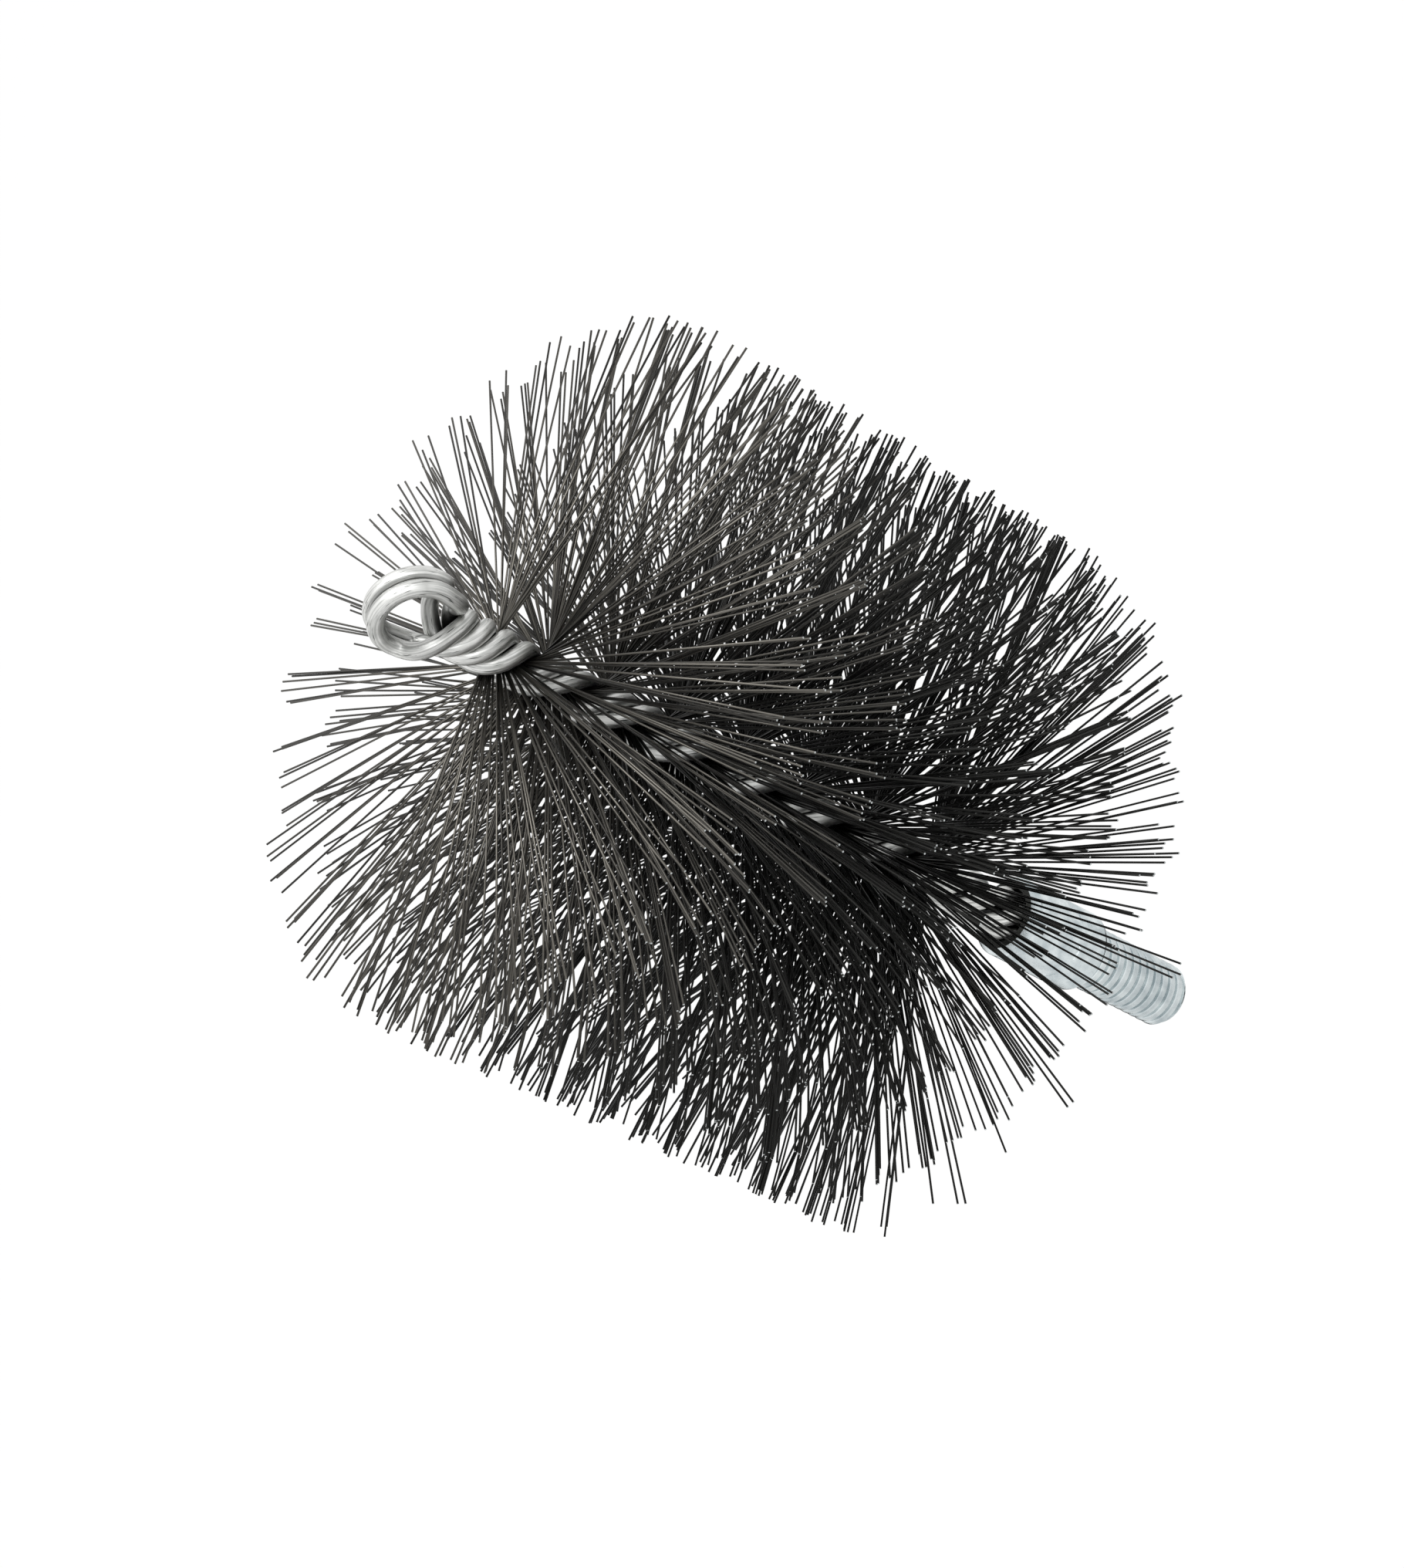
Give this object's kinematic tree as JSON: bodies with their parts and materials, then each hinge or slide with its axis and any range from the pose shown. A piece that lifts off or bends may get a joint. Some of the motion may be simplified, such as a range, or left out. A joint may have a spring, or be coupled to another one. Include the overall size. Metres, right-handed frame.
{
  "type": "tube brush head",
  "caption": "Round twisted-wire flue brush head with straight steel bristles, a double-wire eye at the tip and a threaded stud that screws onto a rod.",
  "frame": {"origin": "centre of the stud's flat end face", "axes": "+Z along the stem, from the stud to the eye; +X across the eye, in the plane of its rings; +Y through the eye's hole, from the front wire's ring to the back wire's"},
  "size_m": [0.1197, 0.1198, 0.1849],
  "materials": {
    "galvanised_wire": "dull galvanised steel wire with fine drawing streaks and small dings",
    "dark_steel_bristle": "dark oiled spring steel wire, bright where it is cut off",
    "zinc_plated_fitting": "bright bluish zinc plating on turned steel"
  },
  "bodies": {
    "root": {"threaded_fitting": "zinc_plated_fitting", "stem_wire_front": "galvanised_wire", "stem_wire_back": "galvanised_wire", "bristle_tuft_01": "dark_steel_bristle", "bristle_tuft_02": "dark_steel_bristle", "bristle_tuft_03": "dark_steel_bristle", "bristle_tuft_04": "dark_steel_bristle", "bristle_tuft_05": "dark_steel_bristle", "bristle_tuft_06": "dark_steel_bristle", "bristle_tuft_07": "dark_steel_bristle", "bristle_tuft_08": "dark_steel_bristle", "bristle_tuft_09": "dark_steel_bristle", "bristle_tuft_10": "dark_steel_bristle", "bristle_tuft_11": "dark_steel_bristle", "bristle_tuft_12": "dark_steel_bristle", "bristle_tuft_13": "dark_steel_bristle", "bristle_tuft_14": "dark_steel_bristle", "bristle_tuft_15": "dark_steel_bristle", "bristle_tuft_16": "dark_steel_bristle", "bristle_tuft_17": "dark_steel_bristle", "bristle_tuft_18": "dark_steel_bristle", "bristle_tuft_19": "dark_steel_bristle", "bristle_tuft_20": "dark_steel_bristle", "bristle_tuft_21": "dark_steel_bristle", "bristle_tuft_22": "dark_steel_bristle", "bristle_tuft_23": "dark_steel_bristle", "bristle_tuft_24": "dark_steel_bristle"}
  },
  "joints": []
}
